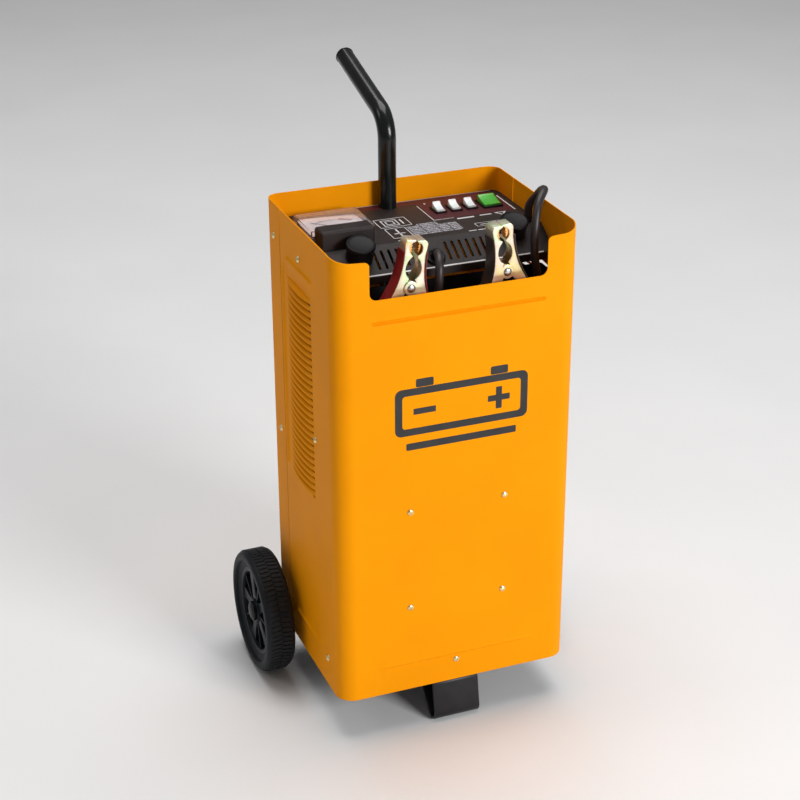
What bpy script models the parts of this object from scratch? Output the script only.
"""Wheeled car battery charger: a sheet-steel cabinet on two wheels and a foot.

Sizes are written in millimetres and turned into metres by the mesh helpers.
Bench coordinates (x, y, z) are used throughout: x from the middle, y behind the
front sheet's outer face, z above the cabinet's lower edge. at() turns them into
the part's own frame, whose origin is on the ground at the middle of the base.
"""

from math import atan2, cos, pi, radians, sin, tan

import bmesh
import bpy
from mathutils import Matrix, Vector

MM = 0.001
GAP = 0.3

# Cabinet
BODY_W, BODY_D, BODY_H = 305.0, 242.6, 579.4
SHEET = 1.2
FRONT_R, REAR_R = 23.0, 16.0
HALF_W = BODY_W / 2
INNER_X = HALF_W - SHEET
GROUND = 55.3          # cabinet's lower edge above the ground
ORIGIN_Y = 188.0       # bench y of the middle of the whole footprint
FRONT_TOP = 571.5      # rim height of the front flanges, lower than BODY_H
NOTCH_HALF, NOTCH_Z, NOTCH_R, NOTCH_LIP_R = 109.6, 525.0, 9.0, 5.0
SEAM_Y = 190.0
LOUVRES, LOUVRE_Z0, LOUVRE_PITCH = 30, 245.5, 8.62
LOUVRE_Y0, LOUVRE_Y1, LOUVRE_H = 80.0, 166.0, 3.0

# Wheels
WHEEL_R, WHEEL_IN, WHEEL_OUT = 80.3, 166.0, 204.0
AXLE_Y, AXLE_Z, AXLE_R = 209.0, WHEEL_R - GROUND, 7.0

# Handle
TUBE_R, TUBE_Y, TUBE_BOTTOM = 11.2, 228.5, 330.0
HANDLE_RISE, HANDLE_END_Y, HANDLE_END_Z, HANDLE_BEND = 16.0, 375.0, 702.0, 35.0

# Console
DECK_Z, DECK_FRONT, LIP_Y, LIP_Z = 549.0, 106.0, 67.0, 526.0
SKIRT_Z, WALL = 517.0, 2.5
CONSOLE_X, CONSOLE_BACK = 150.9, 240.9
SLOPE = atan2(DECK_Z - LIP_Z, DECK_FRONT - LIP_Y)
SLOT_PITCH = 9.2
SLOTS_X = [-68 + SLOT_PITCH * i for i in range(6)] + [21 + SLOT_PITCH * i for i in range(7)]
METER_LO, METER_HI = (-125.0, 154.0), (-45.0, 220.0)
FUSE_LO, FUSE_HI = (-128.0, 108.6), (-61.0, 134.0)
FUSE_BOLTS_X, FUSE_BOLTS_Y = (-112.0, -77.0), 120.0
SWITCH_Y = 191.5
SWITCH_X = (52.6, 73.4, 94.0)
MAIN_X = 120.2
ROCKER_TILT, MAIN_TILT = 16.0, 12.0
PIVOT_Z = DECK_Z + 1.8
POST_TILT = 19.0
POSTS = {"left": (-87.0, 87.0, 561.0), "right": (110.0, 95.0, 561.0)}
GLAND_Y = 80.0
GLAND_X = 2.5
SIDE_GLAND = (140.0, 120.0)

# Storage pocket, leads and clamps
TRAY_X, TRAY_Y0, TRAY_Y1, TRAY_FLOOR, TRAY_TOP, TRAY_WALL = 149.3, 3.2, 99.6, 350.0, 500.0, 1.6
LEAD_D = 10.0
COIL_STRAIGHT, COIL_R, COIL_Y = 50.0, 36.0, 51.0
COILS = {"left": (-56.0, 350.3, 34.4), "right": (37.0, 385.0, 37.0)}   # x, lowest z, height
CLAMP_Y, CLAMP_DEPTH, CLAMP_SHEET = 23.0, 22.0, 1.6
CLAMPS = {"left": (-54.7, 528.2, 8.0, 1), "right": (64.4, 531.2, -7.0, -1)}  # x, z, tilt, side of fixed half

# Screws: (x, y, z) on the front, and (y, z) on both sides
FRONT_SCREWS = [(-61, 249), (61, 249), (-61, 117.6), (61, 117.6), (0, 29.5)]
SIDE_SCREWS = [(120, 539.6), (211.7, 538.3), (206, 284), (73, 328), (45, 40)]
REAR_SCREWS = [(-23, 362), (23, 362), (-120, 30), (120, 30)]
HOLE_R, SHANK_R, HEAD_R, HEAD_H = 2.4, 1.9, 4.2, 2.3

for old in list(bpy.data.objects):
    bpy.data.objects.remove(old, do_unlink=True)

parts = bpy.data.collections.new("battery_charger")
tools = bpy.data.collections.new("cutters")
bpy.context.scene.collection.children.link(parts)
bpy.context.scene.collection.children.link(tools)


def material(name, colour, roughness, metallic=0.0, alpha=1.0):
    mat = bpy.data.materials.new(name)
    mat.use_nodes = True
    shader = mat.node_tree.nodes["Principled BSDF"]
    shader.inputs["Base Color"].default_value = (*colour, 1)
    shader.inputs["Roughness"].default_value = roughness
    shader.inputs["Metallic"].default_value = metallic
    shader.inputs["Alpha"].default_value = alpha
    return mat


ORANGE = material("orange_paint", (0.95, 0.42, 0.01), 0.4)
BLACK_PAINT = material("black_paint", (0.015, 0.015, 0.016), 0.35)
CONSOLE_PLASTIC = material("console_plastic", (0.045, 0.03, 0.028), 0.55)
BLACK_PLASTIC = material("black_plastic", (0.02, 0.018, 0.02), 0.45)
WHITE_PLASTIC = material("white_plastic", (0.9, 0.9, 0.88), 0.35)
GREEN_PLASTIC = material("green_plastic", (0.1, 0.6, 0.08), 0.35)
CLEAR = material("clear_plastic", (0.95, 0.85, 0.86), 0.05, alpha=0.35)
DIAL_WHITE = material("dial_white", (0.9, 0.9, 0.9), 0.5)
NEEDLE_BLACK = material("needle_black", (0.02, 0.02, 0.02), 0.5)
RUBBER = material("rubber", (0.02, 0.02, 0.02), 0.85)
ZINC_YELLOW = material("yellow_zinc", (0.85, 0.72, 0.4), 0.3, 1.0)
ZINC = material("zinc_steel", (0.65, 0.66, 0.68), 0.3, 1.0)
RED_VINYL = material("red_vinyl", (0.45, 0.02, 0.03), 0.5)
BLACK_VINYL = material("black_vinyl", (0.05, 0.035, 0.03), 0.5)
CABLE = material("cable_rubber", (0.03, 0.025, 0.025), 0.6)
CORE_STEEL = material("core_steel", (0.25, 0.25, 0.27), 0.5, 0.8)
COPPER = material("enamelled_copper", (0.55, 0.22, 0.08), 0.35, 1.0)
ALUMINIUM = material("aluminium", (0.75, 0.76, 0.78), 0.35, 1.0)
BRASS = material("brass", (0.8, 0.6, 0.25), 0.3, 1.0)


# ---------------------------------------------------------------- placing

def at(x, y, z):
    """Bench millimetres to the part's own frame in metres."""
    return Vector((x * MM, (y - ORIGIN_Y) * MM, (z + GROUND) * MM))


UPRIGHT = (pi / 2, 0, 0)        # an outline's (x, y) become x and z, its thickness runs along y
SIDEWAYS = (pi / 2, 0, pi / 2)  # an outline's (x, y) become y and z, its thickness runs along x
ALONG_X = (0, pi / 2, 0)        # a turned piece's axis runs along x
ALONG_Y = (-pi / 2, 0, 0)       # a turned piece's axis runs along +y


def link(name, data, mat=None, where=(0, 0, 0), turn=(0, 0, 0), parent=None, cutter=False):
    obj = bpy.data.objects.new(name, data)
    (tools if cutter else parts).objects.link(obj)
    obj.location = where
    obj.rotation_euler = turn
    obj.parent = parent
    if mat:
        data.materials.append(mat)
    if cutter:
        obj.hide_render = True
        obj.display_type = "WIRE"
    return obj


def pivot(name, where, turn=(0, 0, 0), parent=None):
    """An empty on a joint's axis."""
    return link(name, None, None, where, turn, parent)


def as_mesh(obj):
    """Replace a curve object by a closed mesh object of the same shape."""
    bpy.context.view_layer.update()
    graph = bpy.context.evaluated_depsgraph_get()
    data = bpy.data.meshes.new_from_object(obj.evaluated_get(graph))
    bm = bmesh.new()
    bm.from_mesh(data)
    bmesh.ops.remove_doubles(bm, verts=bm.verts, dist=1e-6)
    bmesh.ops.recalc_face_normals(bm, faces=bm.faces)
    bm.to_mesh(data)
    bm.free()
    name, home = obj.name, obj.users_collection[0]
    new = bpy.data.objects.new(name + "_mesh", data)
    home.objects.link(new)
    new.parent, new.matrix_basis = obj.parent, obj.matrix_basis
    new.hide_render, new.display_type = obj.hide_render, obj.display_type
    bpy.data.objects.remove(obj, do_unlink=True)
    new.name = name
    return new


# ---------------------------------------------------------------- outlines

def arc(cx, cy, r, start, end, steps=6):
    """Points of an arc in degrees, ends included."""
    return [(cx + r * cos(radians(start + (end - start) * i / steps)),
             cy + r * sin(radians(start + (end - start) * i / steps))) for i in range(steps + 1)]


def rounded(lo, hi, radii, steps=6):
    """Counter-clockwise rectangle with corner radii (front-right, rear-right, rear-left, front-left)."""
    (x0, y0), (x1, y1) = lo, hi
    a, b, c, d = radii
    return (arc(x1 - a, y0 + a, a, -90, 0, steps) + arc(x1 - b, y1 - b, b, 0, 90, steps)
            + arc(x0 + c, y1 - c, c, 90, 180, steps) + arc(x0 + d, y0 + d, d, 180, 270, steps))


def fillet(points, radius, steps=5):
    """An open path whose inner corners are rounded."""
    out = [points[0]]
    for before, corner, after in zip(points, points[1:], points[2:]):
        c = Vector(corner)
        u, v = (Vector(before) - c).normalized(), (Vector(after) - c).normalized()
        half = u.angle(v) / 2
        reach = radius / tan(half)
        centre = c + (u + v).normalized() * (radius / sin(half))
        p, q = c + u * reach - centre, c + v * reach - centre
        turn = p.angle_signed(q)
        for i in range(steps + 1):
            rot = Matrix.Rotation(-turn * i / steps, 2)
            out.append(tuple(centre + rot @ p))
    return out + [points[-1]]


def offset(path, distance):
    """An open path moved sideways, to its left for a positive distance."""
    out = []
    for i, p in enumerate(path):
        a, b = Vector(path[max(i - 1, 0)]), Vector(path[min(i + 1, len(path) - 1)])
        here = Vector(p)
        before = (here - a).normalized() if (here - a).length > 1e-9 else (b - here).normalized()
        after = (b - here).normalized() if (b - here).length > 1e-9 else before
        side = Vector((-before.y - after.y, before.x + after.x))
        side /= side.length * max(side.normalized().dot(Vector((-before.y, before.x))), 0.3)
        out.append(tuple(here + side * distance))
    return out


def strip(path, thickness):
    """Closed outline of a bent strip around its centre line."""
    return offset(path, thickness / 2) + offset(path, -thickness / 2)[::-1]


# ---------------------------------------------------------------- solids

def plate(name, loops, thickness, mat=None, where=(0, 0, 0), turn=(0, 0, 0), parent=None, cutter=False):
    """A flat outline, with holes where more loops follow the first, given a thickness."""
    curve = bpy.data.curves.new(name, "CURVE")
    curve.dimensions = "2D"
    curve.fill_mode = "BOTH"
    curve.extrude = thickness / 2 * MM
    for loop in loops:
        spline = curve.splines.new("POLY")
        spline.points.add(len(loop) - 1)
        for point, (x, y) in zip(spline.points, loop):
            point.co = (x * MM, y * MM, 0, 1)
        spline.use_cyclic_u = True
    return as_mesh(link(name, curve, mat, where, turn, parent, cutter))


def block(name, lo, hi, mat=None, edge=0.0, cutter=False, turn=None, pivot_at=None):
    """A box between two bench corners, optionally turned about x through its middle."""
    bm = bmesh.new()
    size = [(b - a) * MM for a, b in zip(lo, hi)]
    bmesh.ops.create_cube(bm, size=1.0, matrix=Matrix.Diagonal((*size, 1)))
    data = bpy.data.meshes.new(name)
    bm.to_mesh(data)
    bm.free()
    middle = at(*[(a + b) / 2 for a, b in zip(lo, hi)])
    obj = link(name, data, mat, middle, turn or (0, 0, 0), cutter=cutter)
    if edge:
        bevel = obj.modifiers.new("edges", "BEVEL")
        bevel.width, bevel.segments = edge * MM, 2
    return obj


def shell_cap(name, lo, hi, wall, edge, mat):
    """A moulded cap: a box open below, with rounded edges and an even wall."""
    bm = bmesh.new()
    size = [(b - a) * MM for a, b in zip(lo, hi)]
    bmesh.ops.create_cube(bm, size=1.0, matrix=Matrix.Diagonal((*size, 1)))
    bmesh.ops.delete(bm, geom=[f for f in bm.faces if f.normal.z < -0.5], context="FACES_ONLY")
    round_edges = [e for e in bm.edges if not e.is_boundary]
    bmesh.ops.bevel(bm, geom=round_edges, offset=edge * MM, segments=3, profile=0.5, affect="EDGES")
    data = bpy.data.meshes.new(name)
    bm.to_mesh(data)
    bm.free()
    obj = link(name, data, mat, at(*[(a + b) / 2 for a, b in zip(lo, hi)]))
    skin = obj.modifiers.new("wall", "SOLIDIFY")
    skin.thickness, skin.offset, skin.use_even_offset = wall * MM, -1, True
    return obj


def turned(name, profile, mat=None, where=(0, 0, 0), turn=(0, 0, 0), steps=32, parent=None, cutter=False):
    """A turned piece: (radius, height) points down its outer side; a ring's profile closes on itself."""
    data = bpy.data.meshes.new(name)
    bm = bmesh.new()
    verts = [bm.verts.new((r * MM, 0, h * MM)) for r, h in profile]
    ring = min(r for r, _ in profile) > 0
    pairs = list(zip(verts, verts[1:])) + ([(verts[-1], verts[0])] if ring else [])
    for a, b in pairs:
        bm.edges.new((a, b))
    bm.to_mesh(data)
    bm.free()
    obj = link(name, data, mat, where, turn, parent, cutter)
    screw = obj.modifiers.new("turn", "SCREW")
    screw.steps = screw.render_steps = steps
    screw.use_merge_vertices = True
    screw.merge_threshold = 0.00001
    screw.use_smooth_shade = True
    return obj


def tube(name, points, radius, mat, resolution=3, caps=True):
    """A round bar or cable through bench points."""
    curve = bpy.data.curves.new(name, "CURVE")
    curve.dimensions = "3D"
    curve.bevel_depth = radius * MM
    curve.bevel_resolution = resolution
    curve.use_fill_caps = caps
    spline = curve.splines.new("POLY")
    spline.points.add(len(points) - 1)
    for point, p in zip(spline.points, points):
        point.co = (*at(*p), 1)
    spline.use_smooth = True
    return link(name, curve, mat)


def flowing(points, spacing):
    """Evenly spaced points on a smooth curve through the given bench points."""
    pts = [Vector(p) for p in points]
    pts = [pts[0] * 2 - pts[1]] + pts + [pts[-1] * 2 - pts[-2]]
    fine = []
    for a, b, c, d in zip(pts, pts[1:], pts[2:], pts[3:]):
        for i in range(16):
            t = i / 16
            fine.append(0.5 * (2 * b + (c - a) * t + (2 * a - 5 * b + 4 * c - d) * t * t
                               + (3 * b - a - 3 * c + d) * t ** 3))
    fine.append(pts[-2])
    total = sum((b - a).length for a, b in zip(fine, fine[1:]))
    count = max(2, round(total / spacing))
    out, run, target = [fine[0]], 0.0, total / count
    for a, b in zip(fine, fine[1:]):
        step = (b - a).length
        while run + step >= target - 1e-6 and len(out) < count:
            out.append(a.lerp(b, (target - run) / step if step else 0))
            target += total / count
        run += step
    return [tuple(p) for p in out + [fine[-1]]]


def merged(name, objects):
    """Join separate solids into one object; the pieces stay separate bodies."""
    bpy.context.view_layer.update()
    graph = bpy.context.evaluated_depsgraph_get()
    bm = bmesh.new()
    keep = objects[0]
    for obj in objects:
        data = bpy.data.meshes.new_from_object(obj.evaluated_get(graph))
        data.transform(obj.matrix_world)
        bm.from_mesh(data)
        bpy.data.meshes.remove(data)
    data = bpy.data.meshes.new(name)
    bm.to_mesh(data)
    bm.free()
    home, mats = keep.users_collection[0], list(keep.data.materials)
    hidden, display = keep.hide_render, keep.display_type
    for obj in objects:
        bpy.data.objects.remove(obj, do_unlink=True)
    new = bpy.data.objects.new(name, data)
    home.objects.link(new)
    new.hide_render, new.display_type = hidden, display
    data.materials.clear()
    for mat in mats:
        data.materials.append(mat)
    return new


def cut(obj, cutter, operation="DIFFERENCE"):
    mod = obj.modifiers.new("cut", "BOOLEAN")
    mod.operation, mod.object, mod.solver = operation, cutter, "EXACT"
    return obj


def hole(x, y, z, radius, length, turn):
    """A round cutter through the bench point (x, y, z)."""
    half = length / 2
    return turned("hole", [(0, half), (radius, half), (radius, -half), (0, -half)],
                  where=at(x, y, z), turn=turn, steps=14, cutter=True)


# ---------------------------------------------------------------- screws and their holes

def screw_places():
    """Every sheet-metal screw: head seat in bench millimetres, and its outward direction."""
    places = [((x, 0, z), (0, -1, 0)) for x, z in FRONT_SCREWS]
    for side in (-1, 1):
        places += [((side * HALF_W, y, z), (side, 0, 0)) for y, z in SIDE_SCREWS]
    places += [((x, BODY_D, z), (0, 1, 0)) for x, z in REAR_SCREWS]
    return places


def screw_turn(direction):
    return Vector((0, 0, 1)).rotation_difference(Vector(direction)).to_euler()


def screw_holes():
    cutters = [hole(*seat, HOLE_R, 20, screw_turn(way)) for seat, way in screw_places()]
    return merged("screw_holes", cutters)


def cover_screw():
    """The sheet-metal screw in the middle of the front, which holds the front cover to the base pan."""
    profile = [(0, GAP + HEAD_H), (HEAD_R * 0.6, GAP + HEAD_H * 0.9), (HEAD_R, GAP + HEAD_H * 0.35),
               (HEAD_R, GAP), (SHANK_R, GAP), (SHANK_R, -6.0), (0, -7.5)]
    x, z = FRONT_SCREWS[-1]
    turned("front_cover_screw", profile, ZINC, at(x, 0, z), screw_turn((0, -1, 0)), 14)


# ---------------------------------------------------------------- cabinet

def sheet_wall(name, stations, mat):
    """A bent sheet: (x, y, lower z, upper z) stations along its outer face, solidified inwards."""
    bm = bmesh.new()
    low = [bm.verts.new(at(x, y, z0)) for x, y, z0, _ in stations]
    high = [bm.verts.new(at(x, y, z1)) for x, y, _, z1 in stations]
    for i in range(len(stations) - 1):
        bm.faces.new((low[i], low[i + 1], high[i + 1], high[i]))
    data = bpy.data.meshes.new(name)
    bm.to_mesh(data)
    bm.free()
    obj = link(name, data, mat)
    skin = obj.modifiers.new("sheet", "SOLIDIFY")
    skin.thickness, skin.offset, skin.use_even_offset = SHEET * MM, -1, True
    return obj


def front_rim(x, y):
    """Rim height over the front and its corners: it falls from the sides to the front flanges."""
    across = max(0.0, abs(x) - NOTCH_HALF) / (HALF_W - NOTCH_HALF)
    back = min(1.0, max(0.0, y) / FRONT_R)
    share = 0.35 * across + 0.65 * back * across
    return FRONT_TOP + (BODY_H - FRONT_TOP) * min(1.0, share)


def front_cover(holes):
    tongue_low, tongue_high, tongue_end = 52.0, 512.0, 219.0
    tongue_x = HALF_W - SHEET - 0.35
    corner = arc(HALF_W - FRONT_R, FRONT_R, FRONT_R, -90, 0, 8)
    right = [(x, y, 0, front_rim(x, y)) for x, y in corner]
    right += [(HALF_W, SEAM_Y - 1.6, 0, BODY_H), (HALF_W - 0.05, SEAM_Y - 1.4, tongue_low, tongue_high),
              (tongue_x, SEAM_Y, tongue_low, tongue_high), (tongue_x, tongue_end, tongue_low, tongue_high)]
    flange = [(NOTCH_HALF - 6, 0, 0, FRONT_TOP), (NOTCH_HALF + 8, 0, 0, front_rim(NOTCH_HALF + 8, 0))]
    right = flange + right
    left = [(-x, y, z0, z1) for x, y, z0, z1 in right][::-1]
    cover = sheet_wall("front_cover", left + right, ORANGE)
    top = BODY_H + 20
    notch = (arc(-NOTCH_HALF + NOTCH_R, NOTCH_Z + NOTCH_R, NOTCH_R, 180, 270)
             + arc(NOTCH_HALF - NOTCH_R, NOTCH_Z + NOTCH_R, NOTCH_R, -90, 0)
             + arc(NOTCH_HALF + NOTCH_LIP_R, FRONT_TOP - NOTCH_LIP_R, NOTCH_LIP_R, 180, 90, 3)
             + [(NOTCH_HALF + NOTCH_LIP_R, top), (-NOTCH_HALF - NOTCH_LIP_R, top)]
             + arc(-NOTCH_HALF - NOTCH_LIP_R, FRONT_TOP - NOTCH_LIP_R, NOTCH_LIP_R, 90, 0, 3))
    cutters = [plate("notch", [notch], 12, where=at(0, 0, 0), turn=UPRIGHT, cutter=True)]
    for side in (-1, 1):
        for i in range(LOUVRES):
            z = LOUVRE_Z0 + LOUVRE_PITCH * i
            cutters.append(block("slot", (side * HALF_W - 5, LOUVRE_Y0, z), (side * HALF_W + 5, LOUVRE_Y1, z + LOUVRE_H),
                                 cutter=True))
    cut(cover, merged("front_openings", cutters))
    cut(cover, holes)


def rear_cover(holes):
    corner = arc(HALF_W - REAR_R, BODY_D - REAR_R, REAR_R, 0, 90, 8)
    right = [(HALF_W, SEAM_Y + 0.4, 0, BODY_H)] + [(x, y, 0, BODY_H) for x, y in corner]
    left = [(-x, y, z0, z1) for x, y, z0, z1 in right][::-1]
    cover = sheet_wall("rear_cover", right + left, ORANGE)
    cutters = [hole(side * HALF_W, AXLE_Y, AXLE_Z, AXLE_R + 1.2, 12, ALONG_X) for side in (-1, 1)]
    cutters.append(hole(MAINS_GLAND[0], BODY_D, MAINS_GLAND[1], 10.9, 12, ALONG_Y))
    for column in (-62, 62):
        for i in range(6):
            z = 240 + 16 * i
            cutters.append(block("vent", (column - 38, BODY_D - 6, z), (column + 38, BODY_D + 6, z + LOUVRE_H),
                                 cutter=True))
    cut(cover, merged("rear_openings", cutters))
    cut(cover, holes)


MAINS_GLAND = (85.0, 110.0)


def inner_plan(margin, y0, y1, front_r, rear_r):
    """Plan outline inside the covers."""
    half = INNER_X - margin
    return rounded((-half, y0), (half, y1), (front_r, rear_r, rear_r, front_r), 6)


def base_pan(holes):
    wall, height, margin = 1.5, 45.0, 0.4
    y0, y1 = SHEET + margin, BODY_D - SHEET - margin
    front_r, rear_r = FRONT_R - SHEET - margin, REAR_R - SHEET - margin
    pan = plate("base_pan", [inner_plan(margin, y0, y1, front_r, rear_r)], height, BLACK_PAINT, at(0, 0, height / 2))
    inside = plate("pan_inside", [inner_plan(margin + wall, y0 + wall, y1 - wall, front_r - wall, rear_r - wall)],
                   height, where=at(0, 0, height / 2 + wall), cutter=True)
    cut(pan, inside)
    cut(pan, hole(0, AXLE_Y, AXLE_Z, AXLE_R + 1.2, BODY_W, ALONG_X))
    cut(pan, holes)


def front_foot():
    """A V-bent strip under the front edge: a leg down to the ground and a brace back up."""
    path = [(32, -2.3), (3.5, -2.3), (-9.77, -73.2), (61.1, -2.3), (84, -2.3)]
    line = fillet(path[:2] + path[2:3], 4.0, 3)[:-1]
    line += fillet(path[1:4], 10.0, 8)[1:-1]
    line += fillet(path[2:5], 4.0, 3)[1:]
    plate("front_foot", [strip(line, 4.0)], 61.0, BLACK_PAINT, at(0, 0, 0), SIDEWAYS)


def front_bracket():
    """A sheet channel behind the front sheet that carries the storage tray and the heat sink."""
    height, z0, y0 = TRAY_FLOOR - TRAY_WALL - GAP - 2.0, 2.0, 4.2
    path = fillet([(-74, 20.0), (-74, y0), (74, y0), (74, 20.0)], 3.0, 4)
    bracket = plate("front_bracket", [strip(path, 1.5)], height, ZINC, at(0, 0, z0 + height / 2))
    windows = [block("window", (-42, y0 - 8, a), (42, y0 + 8, b), cutter=True) for a, b in ((60, 190), (270, 325))]
    bores = [hole(x, y0, z, HOLE_R, 20, ALONG_Y) for x, z in FRONT_SCREWS]
    cut(bracket, merged("bracket_openings", windows + bores))


# ---------------------------------------------------------------- running gear

def wheel(side):
    """A tyre and its hub, both turning about the axle."""
    centre = pivot(side + "_wheel_pivot", at(0, AXLE_Y, AXLE_Z), ALONG_X if side == "right" else (0, -pi / 2, 0))
    inner, outer = WHEEL_IN, WHEEL_OUT
    shoulder = 7.0
    tread = [(58.0, outer - 3), (64, outer), (WHEEL_R - shoulder, outer)]
    tread += [(WHEEL_R - shoulder + shoulder * sin(radians(a)), outer - shoulder + shoulder * cos(radians(a)))
              for a in (30, 60, 90)]
    tread += [(WHEEL_R - shoulder + shoulder * cos(radians(a)), inner + shoulder - shoulder * sin(radians(a)))
              for a in (0, 30, 60)]
    tread += [(WHEEL_R - shoulder, inner), (64, inner), (58.0, inner + 3)]
    turned(side + "_tyre", tread, RUBBER, steps=36, parent=centre)
    rim, bore, boss = 58.0 - GAP, AXLE_R + GAP, 15.0
    near = HALF_W + 2 * GAP
    hub = [(bore, outer - 6), (boss, outer - 6), (boss + 1.5, outer - 12), (rim - 8, outer - 12),
           (rim - 5, outer - 3), (rim, outer - 3), (rim, inner + 3), (rim - 5, inner + 3), (rim - 8, outer - 17),
           (boss + 1.5, outer - 17), (boss, inner), (boss - 3, near), (bore, near)]
    turned(side + "_hub", hub, BLACK_PLASTIC, steps=36, parent=centre)


def axle_set():
    """A plain steel axle through the base pan, with a pushed-on cap at each end."""
    end = WHEEL_OUT - 2.5
    turned("wheel_axle", [(0, end), (AXLE_R - 1, end), (AXLE_R, end - 1), (AXLE_R, 1 - end), (AXLE_R - 1, -end),
                          (0, -end)], ZINC, at(0, AXLE_Y, AXLE_Z), ALONG_X, 24)
    face, loose = WHEEL_OUT - 6 + GAP, AXLE_R + GAP
    dome = [(0, WHEEL_OUT), (7, WHEEL_OUT - 0.2), (11, WHEEL_OUT - 1.2), (13, face + 1), (13, face),
            (loose, face), (loose, end + GAP), (0, end + GAP)]
    for side, turn in (("left", -pi / 2), ("right", pi / 2)):
        turned(side + "_axle_cap", dome, BLACK_PLASTIC, at(0, AXLE_Y, AXLE_Z), (0, turn, 0), 24)


# ---------------------------------------------------------------- handle

def handle():
    """One bent steel tube with a moulded end plug, held in the console's hole and by a saddle below."""
    rise = radians(HANDLE_RISE)
    corner_z = HANDLE_END_Z - (HANDLE_END_Y - TUBE_Y) * tan(rise)
    path = fillet([(TUBE_Y, TUBE_BOTTOM), (TUBE_Y, corner_z), (HANDLE_END_Y, HANDLE_END_Z)], HANDLE_BEND, 7)
    bar = as_mesh(tube("handle_tube", [(0, y, z) for y, z in path], TUBE_R, BLACK_PAINT, 4, caps=False))
    skin = bar.modifiers.new("wall", "SOLIDIFY")
    skin.thickness, skin.offset = 1.5 * MM, -1
    plug_r, grip = TUBE_R - 1.5 - 3 * GAP, TUBE_R + 0.6
    plug = [(0, 6.5), (4.5, 5.9), (8.5, 4.2), (grip - 0.6, 2.0), (grip, GAP), (plug_r, GAP), (plug_r, -14), (0, -14)]
    turned("handle_end_cap", plug, BLACK_PLASTIC, at(0, HANDLE_END_Y, HANDLE_END_Z), (rise - pi / 2, 0, 0), 24)
    wrap, tab = TUBE_R + GAP + 1.0, BODY_D - SHEET - GAP - 1.0
    line = [(-32, tab), (-wrap - 2, tab), (-wrap, tab - 2)]
    line += arc(0, TUBE_Y, wrap, 180, 360, 12) + [(wrap, tab - 2), (wrap + 2, tab), (32, tab)]
    saddle = plate("handle_saddle", [strip(line, 2.0)], 30, ZINC, at(0, 0, REAR_SCREWS[0][1]))
    cut(saddle, merged("saddle_holes", [hole(x, tab, z, HOLE_R, 20, ALONG_Y) for x, z in REAR_SCREWS[:2]]))


# ---------------------------------------------------------------- console

def console_section(grow, floor):
    """The console's section in (y, z), grown outwards by grow, down to floor."""
    nose = grow * tan(SLOPE / 2)
    return [(CONSOLE_BACK + grow, DECK_Z + grow), (DECK_FRONT - nose, DECK_Z + grow),
            (LIP_Y - grow, LIP_Z + grow * (1 - sin(SLOPE)) / cos(SLOPE)), (LIP_Y - grow, floor),
            (CONSOLE_BACK + grow, floor)]


def console_solid(name, grow, floor, cutter):
    """The section run across the cabinet, with the rear corners rounded in plan."""
    half, back = CONSOLE_X + grow, CONSOLE_BACK + grow
    run = plate(name, [console_section(grow, floor)[::-1]], 2 * half + 20, None if cutter else CONSOLE_PLASTIC,
                at(0, 0, 0), SIDEWAYS, cutter=cutter)
    corner = REAR_R - SHEET - (INNER_X - CONSOLE_X) + grow
    plan = rounded((-half, LIP_Y - 30), (half, back), (1, corner, corner, 1), 6)
    return cut(run, plate(name + "_plan", [plan], 200, where=at(0, 0, DECK_Z - 40), cutter=True), "INTERSECT")


def slope_point(y, height):
    """A point above the sloping fascia, height measured along its normal."""
    z = DECK_Z - (DECK_FRONT - y) * tan(SLOPE)
    return y - height * sin(SLOPE), z + height * cos(SLOPE)


def console(holes):
    shell = console_solid("console", 0, SKIRT_Z, False)
    cut(shell, console_solid("console_inside", -WALL, SKIRT_Z - 30, True))
    openings = [hole(0, TUBE_Y, DECK_Z, TUBE_R + 0.5, 90, (0, 0, 0))]
    openings.append(block("meter_hole", (METER_LO[0] + 5.4, METER_LO[1] + 5.4, DECK_Z - 10),
                          (METER_HI[0] - 5.4, METER_HI[1] - 5.4, DECK_Z + 10), cutter=True))
    for x in SWITCH_X:
        openings.append(block("switch_hole", (x - 7.0, SWITCH_Y - 11.2, DECK_Z - 10),
                              (x + 7.0, SWITCH_Y + 11.2, DECK_Z + 10), cutter=True))
    openings.append(block("main_hole", (MAIN_X - 12.4, SWITCH_Y - 14.6, DECK_Z - 10),
                          (MAIN_X + 12.4, SWITCH_Y + 14.6, DECK_Z + 10), cutter=True))
    for x in FUSE_BOLTS_X:
        openings.append(hole(x, FUSE_BOLTS_Y, DECK_Z, 3.4, 20, (0, 0, 0)))
    y, z = slope_point(GLAND_Y, 0)
    openings.append(hole(GLAND_X, y, z, 9.4, 20, (SLOPE, 0, 0)))
    openings.append(hole(*SIDE_GLAND, DECK_Z, 7.4, 20, (0, 0, 0)))
    y, z = slope_point(86.5, 0)
    for x in SLOTS_X:
        openings.append(block("fascia_slot", (x - 1.5, y - 13.5, z - 6), (x + 1.5, y + 13.5, z + 6), cutter=True,
                              turn=(SLOPE, 0, 0)))
    cut(shell, merged("console_openings", openings))
    cut(shell, holes)


def posts():
    """Two moulded posts that the leads can be wound on, standing on the fascia."""
    below = console_solid("under_posts", GAP, SKIRT_Z - 40, True)
    for side, place in POSTS.items():
        profile = [(0, 0), (15.2, 0), (16.8, -0.5), (17.5, -1.8), (17.5, -4.0), (15.4, -6.0), (15.4, -40), (0, -40)]
        post = turned(side + "_cable_post", profile, BLACK_PLASTIC, at(*place), (radians(POST_TILT), 0, 0), 24)
        cut(post, below)


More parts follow.
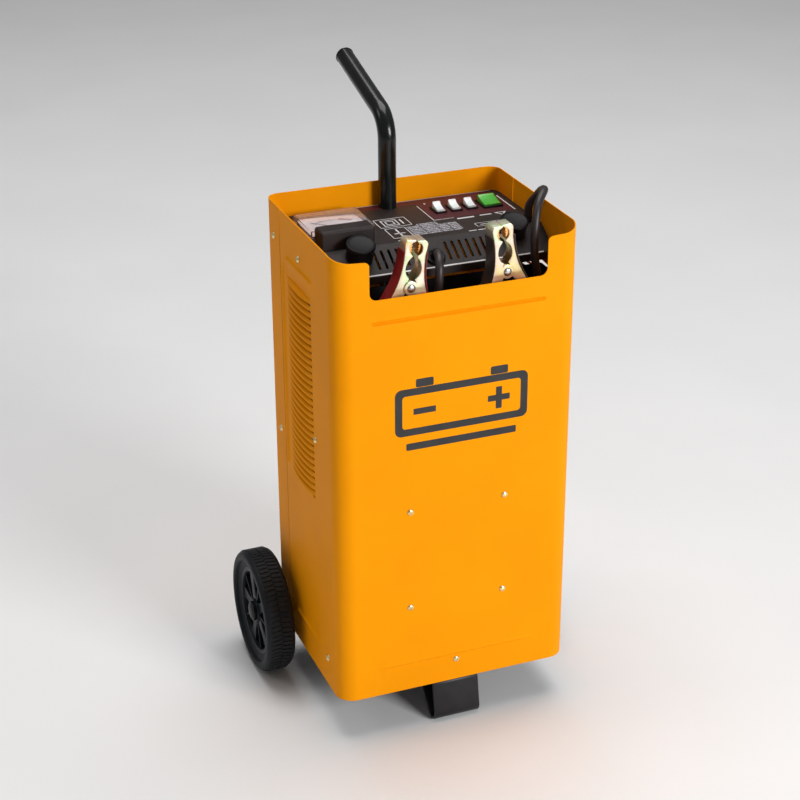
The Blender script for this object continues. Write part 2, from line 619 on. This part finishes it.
def gland(name, where, turn, flange_r, recess_r, shank_r, mat=BLACK_PLASTIC):
    top, floor = 3.5, 1.5
    profile = [(0, floor), (recess_r, floor), (recess_r, top), (flange_r - 1.2, top), (flange_r, top - 1.2),
               (flange_r, GAP), (shank_r, GAP), (shank_r, -9), (0, -9)]
    turned(name, profile, mat, where, turn, 20)


def glands():
    y, z = slope_point(GLAND_Y, 0)
    gland("center_lead_gland", at(GLAND_X, y, z), (SLOPE, 0, 0), 12.0, 7.5, 8.8)
    gland("right_lead_gland", at(*SIDE_GLAND, DECK_Z), (0, 0, 0), 9.2, 6.2, 7.0)
    gland("mains_gland", at(MAINS_GLAND[0], BODY_D, MAINS_GLAND[1]), ALONG_Y, 14.0, 6.0, 10.1)


def ammeter():
    (x0, y0), (x1, y1) = METER_LO, METER_HI
    shell_cap("ammeter_lens", (x0, y0, DECK_Z + GAP), (x1, y1, DECK_Z + 9.0), 1.6, 2.2, CLEAR)
    case = block("ammeter_case", (x0 + 6, y0 + 6, DECK_Z - 30), (x1 - 6, y1 - 6, DECK_Z + 0.6), BLACK_PLASTIC)
    hollow = block("case_inside", (x0 + 8, y0 + 8, DECK_Z - 28), (x1 - 8, y1 - 8, DECK_Z + 10), cutter=True)
    cut(case, hollow)
    middle_x, pivot_y = (x0 + x1) / 2, y0 + 14
    dial = [rounded((x0 + 3, y0 + 3), (x1 - 3, y1 - 3), (1, 1, 1, 1), 2), arc(middle_x, pivot_y, 2.5, 0, 330, 11)]
    plate("ammeter_dial", dial, 1.0, DIAL_WHITE, at(0, 0, DECK_Z + 1.5))
    axis = pivot("needle_pivot", at(middle_x, pivot_y, DECK_Z + 3.4), (0, 0, radians(135)))
    pointer = arc(0, 0, 3.2, 11, 349, 14) + [(36, -0.35), (38, 0), (36, 0.35)]
    plate("ammeter_needle", [pointer], 0.6, NEEDLE_BLACK, parent=axis)


def rocker(name, x, half_w, half_l, end_h, dip, tilt, mat):
    """A rocker with a concave top and a round belly, tilted towards the front at rest."""
    axis = pivot(name + "_pivot", at(x, SWITCH_Y, PIVOT_Z), (radians(tilt), 0, 0))
    top = [(half_l * cos(radians(a)), end_h - dip * sin(radians(a))) for a in range(0, 181, 20)]
    belly = arc(0, 0, half_l, 187, 353, 8)
    plate(name, [top + belly], 2 * half_w, mat, turn=SIDEWAYS, parent=axis)


def housing(name, x, flange, body, cavity, depth=16.0):
    """A switch housing: flange on the deck, body through it, cavity open above for the rocker."""
    (fx, fy), (bx, by), (cx, cy) = flange, body, cavity
    top = block(name, (x - fx, SWITCH_Y - fy, DECK_Z + GAP), (x + fx, SWITCH_Y + fy, DECK_Z + 2.3), BLACK_PLASTIC)
    lower = block(name + "_body", (x - bx, SWITCH_Y - by, DECK_Z - depth), (x + bx, SWITCH_Y + by, DECK_Z + 1.5),
                  cutter=True)
    cut(top, lower, "UNION")
    inner = block(name + "_cavity", (x - cx, SWITCH_Y - cy, PIVOT_Z - cy - 0.6), (x + cx, SWITCH_Y + cy, DECK_Z + 10),
                  cutter=True)
    return cut(top, inner)


def switches():
    for i, x in enumerate(SWITCH_X):
        housing("charge_switch_housing_%d" % (i + 1), x, (7.5, 12.0), (6.6, 10.9), (5.5, 10.1))
        rocker("charge_rocker_%d" % (i + 1), x, 5.0, 9.2, 5.4, 2.2, ROCKER_TILT, WHITE_PLASTIC)
    housing("main_switch_housing", MAIN_X, (13.0, 16.0), (12.0, 14.2), (11.2, 13.3), 18.0)
    rocker("main_rocker", MAIN_X, 10.7, 12.4, 5.0, 1.2, MAIN_TILT, GREEN_PLASTIC)


def fuse():
    (x0, y0), (x1, y1) = FUSE_LO, FUSE_HI
    shell_cap("fuse_cover", (x0, y0, DECK_Z + GAP), (x1, y1, DECK_Z + 23), 2.0, 3.0, CONSOLE_PLASTIC)
    link_z, stud_r = DECK_Z + 7.0, 3.0
    waist = [(-120, 112.5), (-104, 112.5), (-100, 117), (-89, 117), (-85, 112.5), (-69, 112.5),
             (-69, 127.5), (-85, 127.5), (-89, 123), (-100, 123), (-104, 127.5), (-120, 127.5)]
    strip_link = plate("fuse_link", [waist], 1.0, ZINC, at(0, 0, link_z))
    stud = [(0, 8.6), (stud_r, 8.6), (stud_r, 4.0), (5.5, 4.0), (5.5, -6.6), (stud_r, -6.6), (stud_r, -16), (0, -16)]
    for x in FUSE_BOLTS_X:
        cut(strip_link, turned("stud", stud, where=at(x, FUSE_BOLTS_Y, link_z), steps=8, cutter=True), "UNION")


# ---------------------------------------------------------------- power section

def transformer():
    mid_y, depth, z0, z1 = 118.0, 68.0, 1.8, 131.8
    frame = [(-78, z0), (78, z0), (78, z1), (-78, z1)]
    windows = [[(s * 26, z0 + 26), (s * 52, z0 + 26), (s * 52, z1 - 26), (s * 26, z1 - 26)] for s in (-1, 1)]
    plate("transformer_core", [frame] + windows, depth, CORE_STEEL, at(0, mid_y, 0), UPRIGHT)
    height, middle = z1 - z0 - 54, (z0 + z1) / 2
    for name, inner, outer in (("primary_winding", 0.4, 10.0), ("secondary_winding", 11.0, 25.2)):
        a = rounded((-26 - inner, -34 - inner), (26 + inner, 34 + inner), (inner,) * 4, 5)
        b = rounded((-26 - outer, -34 - outer), (26 + outer, 34 + outer), (outer,) * 4, 5)
        plate(name, [b, a], height, COPPER, at(0, mid_y, middle))


def rectifier():
    x0, x1, z0, fins, height = -62.0, 62.0, 215.0, 9, 36.0
    pitch = (x1 - x0 - 3) / (fins - 1)
    comb = [(x0, z0), (x1, z0)]
    for i in reversed(range(fins)):
        left = x0 + pitch * i
        comb += [(left + 3, z0 + height), (left, z0 + height)] if i else [(x0 + 3, z0 + height), (x0, z0 + height)]
        if i:
            comb[-2:] = [(left + 3, z0 + height), (left, z0 + height), (left, z0 + 6), (left - pitch + 3, z0 + 6)]
    plate("rectifier_heatsink", [comb], 90, ALUMINIUM, at(0, 67, 0), UPRIGHT)
    bridge = block("rectifier_bridge", (-18, 49, z0 - 11), (18, 85, z0 - GAP), BLACK_PLASTIC)
    tabs = [block("tab", (x - 0.5, y - 3, z0 - 22), (x + 0.5, y + 3, z0 - 9), cutter=True)
            for x in (-12, 12) for y in (56, 78)]
    cut(bridge, merged("bridge_tabs", tabs), "UNION")


# ---------------------------------------------------------------- clamps

JAW_OUTER = [(0.4, 57), (11, 57), (13.5, 53), (12.4, 38), (13.2, 22), (16, 6), (21, -8), (28, -24), (37, -50), (47, -87)]
JAW_INNER = [(34, -88), (26, -62), (18.5, -40), (12.5, -20), (8.8, -10.5)]
JAW_TEETH = [(4.5, 12), (8.2, 17), (9, 24), (6.5, 33), (2.2, 38), (6, 42), (7.6, 47), (5.5, 52.5), (0.4, 55.2)]
LOBE_R, RIVET_R = 8.6, 3.2


def clamp_half(name, depth, mat, parent, mirrored):
    """A stamped channel: two cheeks and an outer web, with a lobe round the rivet."""
    flip = -1 if mirrored else 1
    lobe = arc(0, 0, LOBE_R, 310, 60, 8)
    outline = [(flip * x, z) for x, z in JAW_OUTER + JAW_INNER + lobe[:0] + arc(0, 0, LOBE_R, -50, -305, 9) + JAW_TEETH]
    half = plate(name, [outline], depth, mat, turn=UPRIGHT, parent=parent)
    inset = [(x - CLAMP_SHEET - 0.2, min(z, 57 - CLAMP_SHEET)) for x, z in JAW_OUTER[1:]]
    channel = [(flip * x, z) for x, z in [(-30, 57 - CLAMP_SHEET)] + inset + [(43, -110), (-30, -110)]]
    groove = plate(name + "_groove", [channel], depth - 2 * CLAMP_SHEET, turn=UPRIGHT, parent=parent, cutter=True)
    cut(half, groove)
    bore = turned(name + "_bore", [(0, 30), (RIVET_R + GAP, 30), (RIVET_R + GAP, -30), (0, -30)], turn=ALONG_Y,
                  steps=14, parent=parent, cutter=True)
    return cut(half, bore)


def clamp_sleeve(name, half_depth, mat, parent, mirrored):
    """A vinyl sleeve: a band over the outer web that closes round the handle below."""
    flip = -1 if mirrored else 1
    skin = 1.5
    band = [p for p in JAW_OUTER if 45 >= p[1]]
    outer = [(x + skin + GAP, z) for x, z in band] + [(53.8, -97)]
    inner_low = [(30.5, -97), (20.5, -62), (14.2, -42)]
    inner_high = [(x + GAP, z) for x, z in band if z > -40][::-1]
    outline = [(flip * x, z) for x, z in outer + inner_low + inner_high]
    sleeve = plate(name, [outline], half_depth * 2 + 2 * (skin + GAP), mat, turn=UPRIGHT, parent=parent)
    core = [(x + GAP, z) for x, z in band] + [(53.6, -104)]
    core += [(33.0, -104), (32.4, -88.5), (24.2, -62), (16.6, -40), (10, -20), (-10, 0), (-10, 50)]
    hollow = plate(name + "_core", [[(flip * x, z) for x, z in core]], 2 * (half_depth + GAP), turn=UPRIGHT,
                   parent=parent, cutter=True)
    return cut(sleeve, hollow)


def clamp(side, mat):
    """A battery clamp standing jaws up; one half is fixed to the lead, the other turns on the rivet."""
    x, z, tilt, fixed_side = CLAMPS[side]
    axis = pivot(side + "_clamp_pivot", at(x, CLAMP_Y, z), (0, radians(tilt), 0))
    outer, inner = CLAMP_DEPTH, CLAMP_DEPTH - 2 * CLAMP_SHEET - 1.0
    fixed_mirrored = fixed_side < 0
    clamp_half(side + "_clamp_fixed_half", outer, ZINC_YELLOW, axis, fixed_mirrored)
    clamp_half(side + "_clamp_moving_half", inner, ZINC_YELLOW, axis, not fixed_mirrored)
    clamp_sleeve(side + "_clamp_fixed_sleeve", outer / 2, mat, axis, fixed_mirrored)
    clamp_sleeve(side + "_clamp_moving_sleeve", inner / 2, mat, axis, not fixed_mirrored)
    reach = outer / 2 + GAP
    head = [(0, reach + 1.6), (3, reach + 1.4), (5, reach), (RIVET_R, reach), (RIVET_R, -reach), (5, -reach),
            (3, -reach - 1.4), (0, -reach - 1.6)]
    turned(side + "_clamp_rivet", head, ZINC, turn=ALONG_Y, steps=14, parent=axis)
    coil, turns, wire = inner / 2 - CLAMP_SHEET - 0.5, 4, 5.8
    spring = []
    for i in range(turns):
        top = coil - 2 * coil * i / turns
        pitch = 2 * coil / turns
        spring += [(wire, top - 0.1 * pitch), (wire + 0.8, top - 0.5 * pitch), (wire, top - 0.9 * pitch)]
    spring = [(RIVET_R + 1.0, coil)] + spring + [(RIVET_R + 1.0, -coil)]
    turned(side + "_clamp_spring", spring, ZINC, turn=ALONG_Y, steps=12, parent=axis)




# ---------------------------------------------------------------- pocket and leads

def storage_tray():
    corner = 19.8
    plan = rounded((-TRAY_X, TRAY_Y0), (TRAY_X, TRAY_Y1), (corner, 3, 3, corner), 6)
    inside = rounded((-TRAY_X + TRAY_WALL, TRAY_Y0 + TRAY_WALL), (TRAY_X - TRAY_WALL, TRAY_Y1 - TRAY_WALL),
                     (corner - TRAY_WALL, 1.4, 1.4, corner - TRAY_WALL), 6)
    height = TRAY_TOP - TRAY_FLOOR + TRAY_WALL
    tray = plate("storage_tray", [plan], height, BLACK_PAINT, at(0, 0, TRAY_TOP - height / 2))
    cut(tray, plate("tray_inside", [inside], height, where=at(0, 0, TRAY_FLOOR + height / 2), cutter=True))


def coil_outline(x, grow):
    r = COIL_R + grow
    return arc(x + COIL_STRAIGHT, COIL_Y, r, -90, 90, 10) + arc(x - COIL_STRAIGHT, COIL_Y, r, 90, 270, 10)


LEFT_LEAD_IN = [(2.5, 76.1, 540.3), (1.7, 71.4, 542.3), (0.3, 66.0, 543.0), (-2.5, 55.8, 540.5), (-5.2, 48.4, 532.7),
                (-6.6, 45.6, 522.4), (-7.6, 45.3, 508.0), (-8.2, 46.0, 490.0), (-8.0, 47.0, 465.0),
                (-7.4, 48.2, 442.0), (-7.6, 50.4, 421.0), (-10.4, 54.6, 403.5), (-17.0, 60.0, 390.0),
                (-26.0, 66.0, 381.5)]
LEFT_LEAD_OUT = [(-39.0, 26.4, 359.5), (-31.5, 27.8, 364.0), (-25.0, 29.2, 372.5), (-21.6, 29.8, 384.0),
                 (-20.6, 29.6, 397.0), (-20.8, 29.3, 410.0), (-22.4, 28.6, 422.0)]
RIGHT_LEAD_IN = [(140.0, 120.0, 551.4), (140.0, 120.0, 557.0), (140.0, 119.9, 562.5), (140.7, 117.0, 571.0),
                 (143.6, 108.3, 581.5), (144.2, 99.5, 590.0), (143.4, 90.0, 596.2), (140.9, 80.0, 599.4),
                 (135.4, 71.8, 598.8), (129.0, 65.0, 595.4), (123.4, 59.0, 589.6), (119.2, 53.4, 581.5),
                 (116.2, 49.2, 571.5), (114.2, 46.6, 559.5), (113.4, 45.2, 545.3), (114.1, 45.0, 531.0),
                 (116.8, 45.0, 516.5), (119.2, 45.1, 502.0), (120.6, 45.5, 485.0), (121.0, 46.2, 465.0),
                 (121.0, 47.6, 448.0), (120.0, 51.0, 431.0)]
RIGHT_LEAD_OUT = [(20.5, 25.7, 396.5), (25.5, 27.4, 404.0), (28.8, 28.0, 413.0), (31.6, 27.8, 422.5)]
IN_HANDLE = [(40.6, -91.0), (33.4, -67.0), (25.2, -44.0), (18.4, -27.0)]   # beside the web of the fixed half


def in_clamp(side, x, z, y=0.0):
    """Bench point of a place in a clamp's fixed half, x away from its rivet and z up."""
    cx, cz, tilt, way = CLAMPS[side]
    lean = radians(tilt)
    return cx + way * x * cos(lean) + z * sin(lean), CLAMP_Y + y, cz - way * x * sin(lean) + z * cos(lean)


def leads():
    """Each charging lead: free tube, flat coil in the pocket, free tube into its clamp."""
    spacing = 2.2 * LEAD_D
    for side, first, last in (("left", LEFT_LEAD_IN, LEFT_LEAD_OUT), ("right", RIGHT_LEAD_IN, RIGHT_LEAD_OUT)):
        inside = [in_clamp(side, x, z, y) for (x, z), y in zip(IN_HANDLE, (3.2, 1.2, 0.4, 0.0))]
        tube(side + "_lead_upper", flowing(first, spacing), LEAD_D / 2, CABLE, 2)
        tube(side + "_lead_lower", flowing(last + inside, spacing), LEAD_D / 2, CABLE, 2)
        x, z, height = COILS[side]
        ring_loops = [coil_outline(x, LEAD_D / 2 + 0.1), coil_outline(x, -LEAD_D / 2 - 0.1)]
        plate(side + "_lead_coil", ring_loops, height, CABLE, at(0, 0, z + height / 2))


# ---------------------------------------------------------------- build

def build():
    holes = screw_holes()
    front_cover(holes)
    rear_cover(holes)
    base_pan(holes)
    front_foot()
    front_bracket()
    wheel("left")
    wheel("right")
    axle_set()
    handle()
    console(holes)
    posts()
    glands()
    ammeter()
    switches()
    fuse()
    transformer()
    rectifier()
    clamp("left", RED_VINYL)
    clamp("right", BLACK_VINYL)
    storage_tray()
    leads()
    cover_screw()


build()
